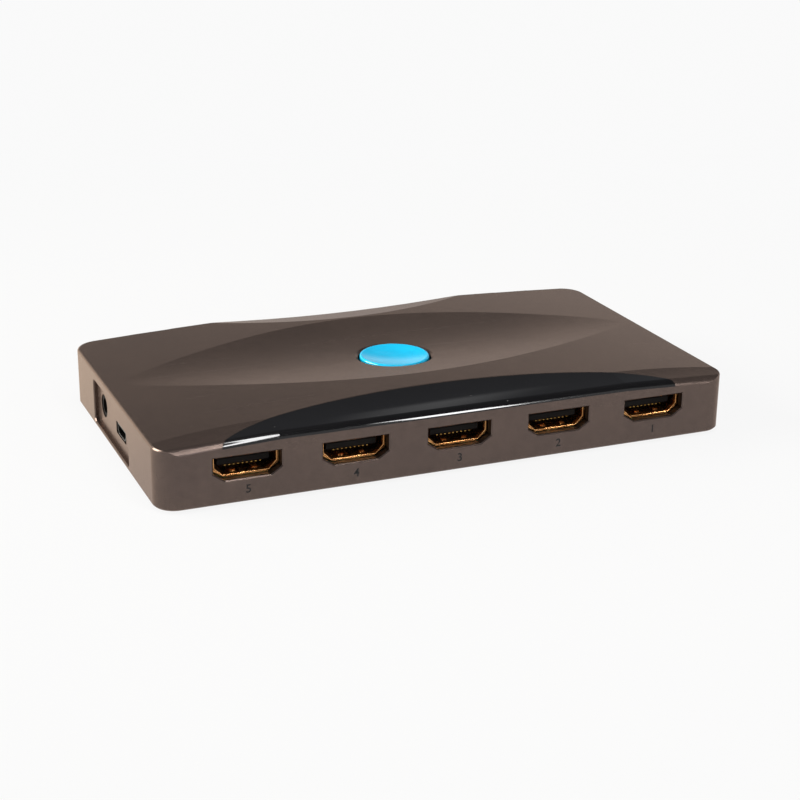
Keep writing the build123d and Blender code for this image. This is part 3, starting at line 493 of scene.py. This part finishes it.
class Shop:
    """Builds each finish once and lays it on pieces."""

    FINISHES = {
        "case_satin": CoatedFinish(
            "dark_bronze_satin", from_bytes(90, 78, 73), from_bytes(95, 82, 76), roughness=0.24,
            roughness_spread=0.03, metallic=0.75, mottle_scale=40.0, grain_scale=9000.0, grain_depth=1.2e-6,
            tint=(1.0, 0.83, 0.73), dust_tone=from_bytes(150, 140, 130), dust_share=0.04, rub_roughness=0.01,
            bare_tone=from_bytes(14, 13, 13)),
        "smoked_window": DustedFinish(
            "smoked_window_gloss", from_bytes(10, 9, 10), from_bytes(13, 12, 13), roughness=0.05,
            roughness_spread=0.01, grain_depth=1e-7, dust_tone=from_bytes(130, 128, 125), dust_scale=420.0,
            dust_size=0.032, dust_share=0.12, rub_roughness=0.03, settings={"IOR": 1.49}),
        "cover_black": Finish(
            "black_textured_moulding", from_bytes(34, 32, 30), from_bytes(40, 38, 36), roughness=0.6,
            grain_scale=3200.0, grain_depth=1.5e-5),
        "foot_rubber": Finish(
            "black_rubber", from_bytes(28, 28, 28), from_bytes(38, 37, 36), roughness=0.85,
            grain_scale=5000.0, grain_depth=1.2e-5),
        "screw_steel": Finish(
            "black_screw_steel", from_bytes(62, 62, 64), from_bytes(88, 86, 84), roughness=0.35,
            metallic=1.0, mottle_scale=600.0, grain_depth=3e-6),
        "board": BoardFinish(
            "green_solder_mask", from_bytes(22, 88, 50), from_bytes(18, 76, 44), roughness=0.35,
            grain_depth=2e-6, track_tone=from_bytes(48, 128, 76)),
        "dull_metal": Finish(
            "dull_nickel", from_bytes(92, 90, 88), from_bytes(74, 72, 70), roughness=0.3,
            metallic=1.0, mottle_scale=500.0, grain_depth=1.5e-6),
        "bright_metal": Finish(
            "bright_nickel", from_bytes(200, 198, 192), from_bytes(176, 174, 168), roughness=0.25,
            metallic=1.0, mottle_scale=500.0, grain_depth=1.5e-6),
        "socket_metal": Finish(
            "gold_plated_sheet", from_bytes(240, 180, 116), from_bytes(206, 142, 84), roughness=0.26,
            metallic=1.0, mottle_scale=260.0, grain_depth=1.5e-6),
        "contact_metal": Finish(
            "gold_plated_contact", from_bytes(236, 186, 104), from_bytes(214, 160, 82), roughness=0.2,
            metallic=1.0, mottle_scale=400.0, grain_depth=1e-6),
        "black_moulding": Finish(
            "black_socket_moulding", from_bytes(14, 12, 11), from_bytes(20, 18, 16), roughness=0.6,
            grain_depth=4e-6, settings={"Specular IOR Level": 0.08}),
        "can_aluminium": Finish(
            "capacitor_aluminium", from_bytes(206, 206, 206), from_bytes(184, 184, 186), roughness=0.32,
            metallic=1.0, mottle_scale=300.0),
        "button_blue": Finish(
            "azure_button_moulding", from_bytes(8, 177, 223), from_bytes(12, 183, 229), roughness=0.16,
            roughness_spread=0.03, mottle_scale=200.0, grain_depth=6e-7, settings={"IOR": 1.62}),
        "lamp": Finish(
            "lamp_phosphor", from_bytes(236, 224, 150), from_bytes(244, 238, 196), roughness=0.3),
        "clear_acrylic": Finish(
            "clear_light_guide", from_bytes(236, 240, 242), from_bytes(228, 234, 238), roughness=0.08,
            roughness_spread=0.02, grain_depth=5e-7, settings={"Transmission Weight": 0.9, "IOR": 1.49}),
        "chip": Finish(
            "black_chip_epoxy", from_bytes(34, 34, 36), from_bytes(44, 44, 46), roughness=0.55,
            grain_scale=4500.0, grain_depth=6e-6),
        "ceramic": Finish(
            "fired_ceramic", from_bytes(150, 122, 92), from_bytes(126, 100, 76), roughness=0.5,
            mottle_scale=700.0),
        "numeral_ink": Finish(
            "dark_numeral_ink", from_bytes(12, 11, 10), from_bytes(20, 18, 17), roughness=0.8,
            mottle_scale=900.0, grain_depth=2e-6),
    }

    def __init__(self) -> None:
        """Starts with no material made."""
        self.made: dict[str, bpy.types.Material] = {}

    def material(self, slot: str) -> bpy.types.Material:
        """Finds the material of a slot, built at its first use.

        Args:
            slot: the slot's name.

        Returns:
            The material.
        """
        if slot not in self.made:
            self.made[slot] = self.FINISHES[slot].build()
        return self.made[slot]

    def lay(self, piece: bpy.types.Object, slot: str) -> None:
        """Puts a slot's material on every face of a piece.

        Args:
            piece: the piece.
            slot: the slot's name.
        """
        material = self.material(slot)
        if not piece.material_slots:
            piece.data.materials.append(material)
        for held in piece.material_slots:
            held.material = material


def deselect() -> None:
    """Leaves nothing selected and nothing active."""
    bpy.ops.object.select_all(action="DESELECT")
    bpy.context.view_layer.objects.active = None


def select(piece: bpy.types.Object) -> None:
    """Leaves a piece alone selected and active.

    Args:
        piece: the piece.
    """
    deselect()
    piece.select_set(True)
    bpy.context.view_layer.objects.active = piece


def settle(piece: bpy.types.Object) -> bpy.types.Object:
    """Applies a piece's place, turn and size to its mesh.

    Args:
        piece: a mesh object.

    Returns:
        The same object, which now sits at the origin.
    """
    select(piece)
    bpy.ops.object.transform_apply(location=True, rotation=True, scale=True)
    return piece


def copied(pattern: bpy.types.Object, name: str, shift: Vector, turn: float = 0.0) -> bpy.types.Object:
    """Copies a piece that repeats.

    Args:
        pattern: the piece that was modelled about the origin.
        name: the copy's name.
        shift: the copy's place.
        turn: how far it is turned about the Z axis, in radians.

    Returns:
        The copy, with a mesh of its own.
    """
    select(pattern)
    bpy.ops.object.duplicate(linked=False)
    piece = bpy.context.object
    piece.name = name
    piece.location = shift
    piece.rotation_euler.z = turn
    return settle(piece)


def joined(pieces: list[bpy.types.Object]) -> bpy.types.Object:
    """Joins pieces into the first one of them.

    Args:
        pieces: the pieces.

    Returns:
        The first piece, which now holds them all.
    """
    select(pieces[0])
    for piece in pieces:
        piece.select_set(True)
    bpy.ops.object.join()
    return pieces[0]


def turned(name: str, profile: list[tuple[float, float]], sides: int,
           closed: bool = True) -> bpy.types.Object:
    """Turns a profile about the Z axis.

    Args:
        name: the piece's name.
        profile: radius and height of each ring in metres, from the first one to the last.
        sides: how many sides each ring has.
        closed: whether the last ring is filled, as the first one always is.

    Returns:
        The piece.
    """
    deselect()
    radius, height = profile[0]
    bpy.ops.mesh.primitive_circle_add(vertices=sides, radius=radius, fill_type="NGON",
                                      location=(0, 0, height))
    piece = bpy.context.object
    piece.name = name
    bpy.ops.object.mode_set(mode="EDIT")
    bpy.ops.mesh.select_mode(type="EDGE")
    bpy.ops.mesh.select_all(action="SELECT")
    bpy.ops.mesh.region_to_loop()
    for wide, high in profile[1:]:
        bpy.ops.mesh.extrude_edges_move(TRANSFORM_OT_translate={"value": (0, 0, high - height)})
        bpy.ops.transform.resize(value=(wide / radius, wide / radius, 1))
        radius, height = wide, high
    if closed:
        bpy.ops.mesh.edge_face_add()
    bpy.ops.object.mode_set(mode="OBJECT")
    return settle(piece)


def faces_out(piece: bpy.types.Object) -> bpy.types.Object:
    """Turns a closed piece's faces outward and shades its flat edges smooth.

    Args:
        piece: the piece.

    Returns:
        The same piece.
    """
    select(piece)
    bpy.ops.object.mode_set(mode="EDIT")
    bpy.ops.mesh.select_all(action="SELECT")
    bpy.ops.mesh.normals_make_consistent(inside=False)
    bpy.ops.object.mode_set(mode="OBJECT")
    bpy.ops.object.shade_smooth_by_angle(angle=SMOOTH_BELOW)
    return piece


def rounded_block(name: str, low: Vector, high: Vector, edge: float) -> bpy.types.Object:
    """Makes a block with rounded edges.

    Args:
        name: the piece's name.
        low, high: its opposite corners, in metres.
        edge: the radius of its edges.

    Returns:
        The block.
    """
    deselect()
    bpy.ops.mesh.primitive_cube_add(size=1, location=(low + high) / 2, scale=high - low)
    piece = settle(bpy.context.object)
    piece.name = name
    bpy.ops.object.mode_set(mode="EDIT")
    bpy.ops.mesh.select_all(action="SELECT")
    bpy.ops.mesh.bevel(offset=edge, segments=EDGE_SEGMENTS, affect="EDGES")
    bpy.ops.object.mode_set(mode="OBJECT")
    return faces_out(piece)


@dataclass
class Cap:
    """The push button: a cap with a finger dish, a rounded rim, a skirt with lugs, and a stem."""

    radius: float = 8.45 * MM
    sunk: float = 0.35 * MM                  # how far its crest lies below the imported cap's
    rim: float = 0.45 * MM
    dish_slope: float = math.radians(11.5)   # where the dish meets the rim
    skirt: float = 1.2 * MM
    roof: float = 1.4 * MM
    stem: float = 2.2 * MM
    lug_reach: float = 1.0 * MM
    lug_width: float = 5.0 * MM
    lug_height: float = 0.8 * MM
    lug_edge: float = 0.1 * MM
    lugs: int = 3
    rim_steps: int = 14
    dish_steps: int = 16
    sides: int = 128

    def profile(self, crest: float, foot: float, stem_foot: float) -> list[tuple[float, float]]:
        """Lists the cap's rings from the dish's middle over the rim, down the skirt and up to the stem.

        Args:
            crest: the height of the rim's crest.
            foot: the height of the skirt's foot.
            stem_foot: the height of the stem's foot.

        Returns:
            Radius and height of each ring.
        """
        rim_radius, rim_height = self.radius - self.rim, crest - self.rim
        sweep = math.pi / 2 + self.dish_slope
        rim = []
        for step in range(self.rim_steps + 1):
            angle = sweep * (1 - step / self.rim_steps)
            rim.append((rim_radius + self.rim * math.cos(angle), rim_height + self.rim * math.sin(angle)))
        edge_radius, edge_height = rim[0]
        bend = math.tan(self.dish_slope) / (2 * edge_radius)
        dish = []
        for step in range(1, self.dish_steps):
            wide = edge_radius * step / self.dish_steps
            dish.append((wide, edge_height - bend * (edge_radius ** 2 - wide ** 2)))
        inner = self.radius - self.skirt
        ceiling = rim_height - self.roof
        return [*dish, *rim, (self.radius, foot), (inner, foot), (inner, ceiling), (self.stem, ceiling),
                (self.stem, stem_foot)]

    def build(self, shop: Shop) -> bpy.types.Object:
        """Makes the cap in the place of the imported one.

        Args:
            shop: where the finish comes from.

        Returns:
            The cap.
        """
        low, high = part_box("select_button")
        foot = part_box("switch_plunger")[1].z
        cap = turned("button_cap", self.profile(high.z - self.sunk, low.z, foot), self.sides)
        start = Vector((self.radius - self.skirt / 2, -self.lug_width / 2, low.z))
        end = Vector((self.radius + self.lug_reach, self.lug_width / 2, low.z + self.lug_height))
        lug = rounded_block("lug", start, end, self.lug_edge)
        turns = [2 * math.pi * number / self.lugs for number in range(1, self.lugs)]
        faces_out(joined([cap, lug, *(copied(lug, "lug", Vector(), turn) for turn in turns)]))
        shop.lay(cap, "button_blue")
        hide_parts("select_button")
        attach(cap, Body.BUTTON.value)
        log.info("button cap")
        return cap


@dataclass
class SnapDome:
    """The push switch's thin metal dome, which the button presses flat; it is built in its raised shape."""

    sheet: float = 0.1 * MM
    kept_rise: float = 0.5           # the share of its rise that it keeps
    steps: int = 12
    sides: int = 64

    def arc(self, edge: float, curve: float, middle: float) -> list[tuple[float, float]]:
        """Lists the rings of a round cap, from near its top out to its edge.

        Args:
            edge: the radius of its edge.
            curve: the radius that it is curved to.
            middle: the height of the curve's centre.

        Returns:
            Radius and height of each ring.
        """
        wides = [edge * step / self.steps for step in range(1, self.steps + 1)]
        return [(wide, middle + math.sqrt(curve ** 2 - wide ** 2)) for wide in wides]

    def build(self, shop: Shop) -> bpy.types.Object:
        """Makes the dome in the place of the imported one.

        Args:
            shop: where the finish comes from.

        Returns:
            The dome.
        """
        low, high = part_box("switch_dome")
        radius, rise = (high.x - low.x) / 2, high.z - low.z
        curve = (radius ** 2 + rise ** 2) / (2 * rise)
        middle = high.z - curve
        under = curve - self.sheet
        foot = math.sqrt(under ** 2 - (curve - rise) ** 2)
        profile = self.arc(radius, curve, middle) + self.arc(foot, under, middle)[::-1]
        dome = faces_out(turned("switch_snap_dome", profile, self.sides))
        shop.lay(dome, "bright_metal")
        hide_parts("switch_dome")
        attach(dome, Body.CASE.value)
        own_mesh(dome)
        log.info("snap dome")
        return dome


@dataclass
class SocketTrim:
    """What shows of a picture socket's sheet: the rolled lip round its mouth and its two springs."""

    floor: float = 1.75 * MM          # the inner floor above the board
    width: float = 14.0 * MM
    height: float = 4.55 * MM
    cheek: float = 1.85 * MM
    sheet: float = 0.3 * MM
    lip: float = 0.17 * MM
    lip_facets: int = 5               # in a quarter of its section, past the first
    spring_place: float = 2.5 * MM    # from the socket's middle
    spring_depth: float = 2.3 * MM    # behind the mouth
    spring_width: float = 1.3 * MM
    spring_length: float = 2.4 * MM
    spring_rise: float = 0.55 * MM
    spring_edge: float = 0.11 * MM
    spring_sides: int = 160           # of the whole cylinder that it is cut from
    crease: float = math.radians(50)  # edges sharper than this are softened
    cut_tolerance: float = 1e-4 * MM

    def rolled_lip(self) -> bpy.types.Object:
        """Makes the lip about the origin: a thin ring with a round section.

        Returns:
            The lip.
        """
        deselect()
        bpy.ops.mesh.primitive_plane_add(size=1, rotation=(math.pi / 2, 0, 0))
        piece = bpy.context.object
        piece.scale = (self.width + self.sheet, self.height + self.sheet, 1)
        settle(piece)
        bpy.ops.object.mode_set(mode="EDIT")
        bpy.ops.mesh.select_mode(type="VERT")
        bpy.ops.mesh.select_all(action="DESELECT")
        bpy.ops.object.mode_set(mode="OBJECT")
        for vertex in piece.data.vertices:
            vertex.select = vertex.co.z < 0
        bpy.ops.object.mode_set(mode="EDIT")
        bpy.ops.mesh.bevel(offset=self.cheek, segments=1, affect="VERTICES")
        bpy.ops.mesh.select_all(action="SELECT")
        bpy.ops.mesh.delete(type="ONLY_FACE")
        bpy.ops.object.mode_set(mode="OBJECT")
        bpy.ops.object.convert(target="CURVE")
        ring = bpy.context.object
        ring.data.dimensions = "3D"
        ring.data.bevel_depth = self.lip
        ring.data.bevel_resolution = self.lip_facets
        bpy.ops.object.convert(target="MESH")
        return faces_out(settle(bpy.context.object))

    def spring(self) -> bpy.types.Object:
        """Makes one spring with its foot at the origin: an arched strip that stands on the floor.

        Returns:
            The spring.
        """
        deselect()
        half = self.spring_length / 2
        radius = (half ** 2 + self.spring_rise ** 2) / (2 * self.spring_rise)
        bpy.ops.mesh.primitive_cylinder_add(vertices=self.spring_sides, radius=radius,
                                            depth=self.spring_width, rotation=(0, math.pi / 2, 0),
                                            location=(0, 0, self.spring_rise - radius))
        piece = settle(bpy.context.object)
        soften = piece.modifiers.new("soft_sides", "BEVEL")
        soften.width = self.spring_edge
        soften.segments = EDGE_SEGMENTS
        soften.limit_method = "ANGLE"
        soften.angle_limit = self.crease
        bpy.ops.object.modifier_apply(modifier=soften.name)
        bpy.ops.object.mode_set(mode="EDIT")
        bpy.ops.mesh.select_all(action="SELECT")
        bpy.ops.mesh.bisect(plane_co=(0, 0, 0), plane_no=(0, 0, 1), use_fill=True, clear_inner=True,
                            threshold=self.cut_tolerance)
        bpy.ops.object.mode_set(mode="OBJECT")
        return faces_out(piece)

    def build(self, shop: Shop) -> None:
        """Makes the lip and the springs of every picture socket.

        Args:
            shop: where the finish comes from.
        """
        lip, spring = self.rolled_lip(), self.spring()
        sides = [Vector((side * self.spring_place, 0, 0)) for side in (-1, 1)]
        springs = joined([copied(spring, "springs", side) for side in sides])
        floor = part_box("circuit_board")[1].z + self.floor
        for name in SOCKETS:
            low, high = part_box(f"{name}_shell")
            mouth, inward = (high.y, -1) if name == "output" else (low.y, 1)
            along = (low.x + high.x) / 2
            lip_place = Vector((along, mouth, floor + self.height / 2))
            spring_place = Vector((along, mouth + inward * self.spring_depth, floor))
            for piece in (copied(lip, f"{name}_lip", lip_place),
                          copied(springs, f"{name}_springs", spring_place)):
                shop.lay(piece, "socket_metal")
                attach(piece, Body.CASE.value)
            log.info("%s lip and springs", name)
        for pattern in (lip, spring, springs):
            bpy.data.objects.remove(pattern)


@dataclass
class Numerals:
    """The plain numerals under the front sockets, 1 at the right."""

    height: float = 1.9 * MM
    thickness: float = 0.004 * MM
    weight: float = 0.04 * MM        # how much its strokes are thickened
    drop: float = 1.55 * MM          # from the board's top to the numeral's middle
    figure_share: float = 0.7        # a figure's height as a share of its type size

    def build(self, shop: Shop) -> list[bpy.types.Object]:
        """Makes one numeral under each front socket.

        Args:
            shop: where the ink comes from.

        Returns:
            The five numerals.
        """
        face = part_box("top_shell")[0].y
        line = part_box("circuit_board")[1].z - self.drop
        numerals = []
        for number in range(1, INPUTS + 1):
            low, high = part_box(f"input_{number}_shell")
            numerals.append(self.numeral(number, Vector(((low.x + high.x) / 2, face, line)), shop))
        return numerals

    def numeral(self, number: int, middle: Vector, shop: Shop) -> bpy.types.Object:
        """Makes one numeral.

        Args:
            number: what it says.
            middle: the middle of its back, on the case's face.
            shop: where the ink comes from.

        Returns:
            The numeral's mesh object.
        """
        deselect()
        bpy.ops.object.text_add(location=middle, rotation=(math.pi / 2, 0, 0))
        text = bpy.context.object
        text.data.body = str(number)
        text.data.align_x = "CENTER"
        text.data.align_y = "CENTER"
        text.data.size = self.height / self.figure_share
        text.data.offset = self.weight
        text.data.extrude = self.thickness / 2
        bpy.ops.object.convert(target="MESH")
        piece = bpy.context.object
        piece.name = f"numeral_{number}"
        settle(piece)
        shop.lay(piece, "numeral_ink")
        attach(piece, Body.CASE.value)
        log.info("numeral %d", number)
        return piece


@dataclass
class Case:
    """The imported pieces, each with its finish."""

    # painted shade: the jack's bush and the power socket's shell get darker finishes than their bright nickel
    # slot, for the shade in the side recess
    darker: dict[str, str] = field(
        default_factory=lambda: {"jack_bush": "black_moulding", "power_shell": "dull_metal"})

    def dress(self, shop: Shop) -> None:
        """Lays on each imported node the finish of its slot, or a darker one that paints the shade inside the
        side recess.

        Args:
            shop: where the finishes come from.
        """
        for part in frame["record"]["subparts"]:
            node = frame["nodes"][part["node"]]
            shop.lay(node, self.darker.get(part["node"], part["material_slot"]))
            log.info("dressed %s", part["node"])


@dataclass
class Stage:
    """The pale floor that sweeps up into a low backdrop all round."""

    floor_radius: float = 1.3
    rim_radius: float = 2.4
    rim_height: float = 0.42
    rings: int = 14
    sides: int = 96
    paper: Color = (0.78, 0.78, 0.78)
    # Painted reflections: the object's reflections show the floor glowing in these tones, not as it is lit;
    # the left one is brighter than white.
    front_look: Color = (0.75, 0.75, 0.76)      # painted glow of the floor in the object's reflections, at the front
    right_look: Color = (0.55, 0.55, 0.56)
    left_look: Color = (1.3, 1.22, 1.06)
    left_end: float = -0.15                     # from here the left glow turns into the right one
    right_end: float = 0.1                      # and by here it has
    front_end: float = -0.06                    # from here the front glow turns into those two
    rear_end: float = 0.06                      # and by here it has
    near_share: float = 0.93                    # of the pale look near the object, where shadow shows
    near_radius: float = 0.1
    far_radius: float = 0.3
    fibre_scale: float = 900.0
    fibre_depth: float = 1e-5

    def build(self) -> bpy.types.Object:
        """Makes the floor and its backdrop.

        Returns:
            The stage's mesh object.
        """
        sweep_width = self.rim_radius - self.floor_radius
        profile = []
        for ring in range(self.rings + 1):
            angle = math.pi / 2 * ring / self.rings
            profile.append((self.floor_radius + sweep_width * math.sin(angle),
                            self.rim_height * (1 - math.cos(angle))))
        sweep = turned("floor", profile, self.sides, closed=False)
        bpy.ops.object.shade_smooth()
        sweep.data.materials.append(self.material())
        log.info("floor and backdrop")
        return sweep

    def material(self) -> bpy.types.Material:
        """Makes the paper: it takes the object's shadow near the object, shows pale further out, and shows a
        painted glow in reflections.

        Returns:
            The material.
        """
        material = bpy.data.materials.new("pale_paper")
        material.use_nodes = True
        material.node_tree.nodes.clear()
        graph = Graph(material.node_tree)
        place = graph.add("TexCoord").outputs["Object"]
        away = graph.add("VectorMath", {0: place}, operation="LENGTH").outputs["Value"]
        share = graph.ramp(away, self.near_radius, self.far_radius, self.near_share, 1.0)
        path = graph.add("LightPath")
        looks = graph.math("MAXIMUM", path.outputs["Is Camera Ray"],
                           graph.math("MAXIMUM", path.outputs["Is Glossy Ray"],
                                      path.outputs["Is Transmission Ray"]))
        fibre = graph.add("TexNoise", {"Vector": place, "Scale": self.fibre_scale, "Detail": 3.0})
        bump = graph.add("Bump", {"Height": fibre.outputs["Fac"], "Distance": self.fibre_depth})
        paper = graph.add("BsdfDiffuse", {"Color": self.paper, "Normal": bump.outputs["Normal"]})
        parts = graph.add("SeparateXYZ", {"Vector": place})
        rightward = graph.ramp(parts.outputs["X"], self.left_end, self.right_end)
        rearward = graph.ramp(parts.outputs["Y"], self.front_end, self.rear_end)
        # painted reflection: glossy and transmission rays see the floor as a glow in these tones, brighter at
        # the left and dimmer at the right
        rear = graph.mix(rightward, self.left_look, self.right_look)
        mirrored = graph.mix(rearward, self.front_look, rear)
        look = graph.mix(path.outputs["Is Camera Ray"], mirrored, PALE)
        shown = graph.add("Emission", {"Color": look, "Strength": 1.0})
        mix = graph.add("MixShader", {0: graph.math("MULTIPLY", share, looks), 1: paper.outputs[0],
                                      2: shown.outputs[0]})
        graph.add("OutputMaterial", {"Surface": mix.outputs[0]})
        return material


@dataclass(frozen=True)
class Lamp:
    """One soft lamp, aimed at the box unless it is told otherwise."""

    name: str
    place: Point
    size: tuple[float, float]
    power: float
    color: Color = (1.0, 1.0, 1.0)
    aim: Point = (0.0, 0.0, 0.0)
    mirrored: bool = True            # whether glossy surfaces show it

    def build(self) -> None:
        """Makes the area lamp and aims it."""
        data = bpy.data.lights.new(self.name, "AREA")
        data.shape = "RECTANGLE"
        data.size, data.size_y = self.size
        data.energy = self.power
        data.color = self.color
        lamp = bpy.data.objects.new(self.name, data)
        bpy.context.scene.collection.objects.link(lamp)
        lamp.visible_glossy = self.mirrored
        lamp.location = self.place
        lamp.rotation_euler = (Vector(self.aim) - Vector(self.place)).to_track_quat("-Z", "Y").to_euler()
        log.info("lamp %s", self.name)


@dataclass
class Light:
    """Plain soft studio light.

    A large lamp stands at the left and a small one hangs overhead. A low lamp and a tall strip in front
    make the bright lines on the window's nose. The room is dim, with a pale horizon, a paler top and a
    soft patch of light at the rear.
    """

    lamps: tuple[Lamp, ...] = (
        Lamp("left_lamp", place=(-1.25, 0.45, 0.48), size=(1.1, 0.8), power=46.0, color=(1.0, 0.96, 0.87)),
        Lamp("overhead_lamp", place=(0.0, -0.25, 1.0), size=(0.4, 0.3), power=3.5, mirrored=False),
        Lamp("low_front_lamp", place=(0.4, -0.95, 0.22), size=(0.09, 0.42), power=3.4),
        Lamp("tall_strip_lamp", place=(0.155, -0.6, 0.58), size=(0.034, 0.86), power=2.3,
             aim=(0.155, 0.0, 0.0)),
    )
    sky: tuple[tuple[float, Color], ...] = (     # the sine of the elevation, and the tone there
        (0.1, (1.0, 1.0, 1.0)), (0.22, (0.62, 0.62, 0.62)), (0.3, (0.31, 0.31, 0.32)),
        (0.36, (0.12, 0.125, 0.135)), (0.44, (0.1, 0.104, 0.113)), (0.94, (0.11, 0.114, 0.123)),
        (1.0, (0.6, 0.6, 0.6)))
    strength: float = 1.15
    glow_azimuth: float = math.radians(25.6)     # a soft pale patch that the window mirrors
    glow_elevation: float = math.radians(27.0)
    glow_width: float = 0.05
    glow_height: float = 0.018
    glow_edge: float = 1.6                       # where it has faded, in its own widths and heights
    glow: float = 0.3

    def patch(self, graph: Graph, direction: bpy.types.NodeSocket) -> bpy.types.NodeSocket:
        """Works out the pale patch's strength in a direction.

        Args:
            graph: the world's tree.
            direction: where the room is looked at.

        Returns:
            The strength's output.
        """
        turn, rise = self.glow_azimuth, self.glow_elevation
        ahead = (math.sin(turn) * math.cos(rise), math.cos(turn) * math.cos(rise), math.sin(rise))
        side = (math.cos(turn), -math.sin(turn), 0.0)
        top = (-math.sin(turn) * math.sin(rise), -math.cos(turn) * math.sin(rise), math.cos(rise))
        dots = [graph.add("VectorMath", {0: direction, 1: axis}, operation="DOT_PRODUCT").outputs["Value"]
                for axis in (side, top, ahead)]
        squares = []
        for dot, size in zip(dots, (self.glow_width, self.glow_height)):
            share = graph.math("ABSOLUTE", graph.math("DIVIDE", dot, size))
            squares.append(graph.math("POWER", share, 2.0))
        away = graph.math("SQRT", graph.math("ADD", *squares))
        return graph.math("MULTIPLY", graph.ramp(away, 0.0, self.glow_edge, self.glow, 0.0),
                          graph.math("GREATER_THAN", dots[2], 0.0))

    def build(self) -> None:
        """Makes the lamps and the world."""
        for lamp in self.lamps:
            lamp.build()
        world = bpy.data.worlds.new("studio")
        bpy.context.scene.world = world
        world.use_nodes = True
        world.node_tree.nodes.clear()
        graph = Graph(world.node_tree)
        direction = graph.add("TexCoord").outputs["Generated"]
        up = graph.add("SeparateXYZ", {"Vector": direction}).outputs["Z"]
        lit = graph.add("ValToRGB", {"Fac": up})
        stops = lit.color_ramp.elements
        while len(stops) < len(self.sky):
            stops.new(1.0)
        for stop, (height, color) in zip(stops, self.sky):
            stop.position = height
            stop.color = (*color, 1.0)
        camera = graph.add("LightPath").outputs["Is Camera Ray"]
        patch = self.patch(graph, direction)
        glow = graph.add("CombineColor", {"Red": patch, "Green": patch, "Blue": patch})
        sky = graph.mix(1.0, lit.outputs["Color"], glow.outputs["Color"], blend="ADD")
        shown = graph.mix(camera, sky, PALE)
        strength = graph.mix(camera, self.strength, 1.0, kind="FLOAT")
        ground = graph.add("Background", {"Color": shown, "Strength": strength})
        graph.add("OutputWorld", {"Surface": ground.outputs[0]})
        log.info("world")


@dataclass(frozen=True)
class PhotoCamera:
    """The camera at the photograph's place, worked out from the box's edges."""

    place: Point = (-0.15421, -0.36909, 0.15138)
    azimuth: float = math.radians(22.89)
    elevation: float = math.radians(20.215)
    roll: float = math.radians(0.675)
    lens: float = 78.21
    sensor: float = 36.0
    nearest: float = 0.01
    furthest: float = 20.0

    def build(self) -> None:
        """Makes the camera and sets it as the scene's."""
        data = bpy.data.cameras.new("photo_camera")
        data.lens = self.lens
        data.sensor_width = self.sensor
        data.sensor_fit = "HORIZONTAL"
        data.clip_start = self.nearest
        data.clip_end = self.furthest
        camera = bpy.data.objects.new("photo_camera", data)
        bpy.context.scene.collection.objects.link(camera)
        ahead = Vector((math.sin(self.azimuth) * math.cos(self.elevation),
                        math.cos(self.azimuth) * math.cos(self.elevation), -math.sin(self.elevation)))
        right = ahead.cross(Vector((0, 0, 1))).normalized()
        up = right.cross(ahead)
        side = math.cos(self.roll) * right + math.sin(self.roll) * up
        top = math.cos(self.roll) * up - math.sin(self.roll) * right
        turn = Matrix((side, top, -ahead)).transposed().to_4x4()
        camera.matrix_world = Matrix.Translation(self.place) @ turn
        bpy.context.scene.camera = camera
        log.info("camera")


def main() -> None:
    """Builds everything in order."""
    shop = Shop()
    Case().dress(shop)
    Cap().build(shop)
    SnapDome().build(shop)
    SocketTrim().build(shop)
    Numerals().build(shop)
    Stage().build()
    Light().build()
    PhotoCamera().build()
    bpy.context.scene.view_settings.view_transform = "Standard"


if __name__ == "__main__":
    main()
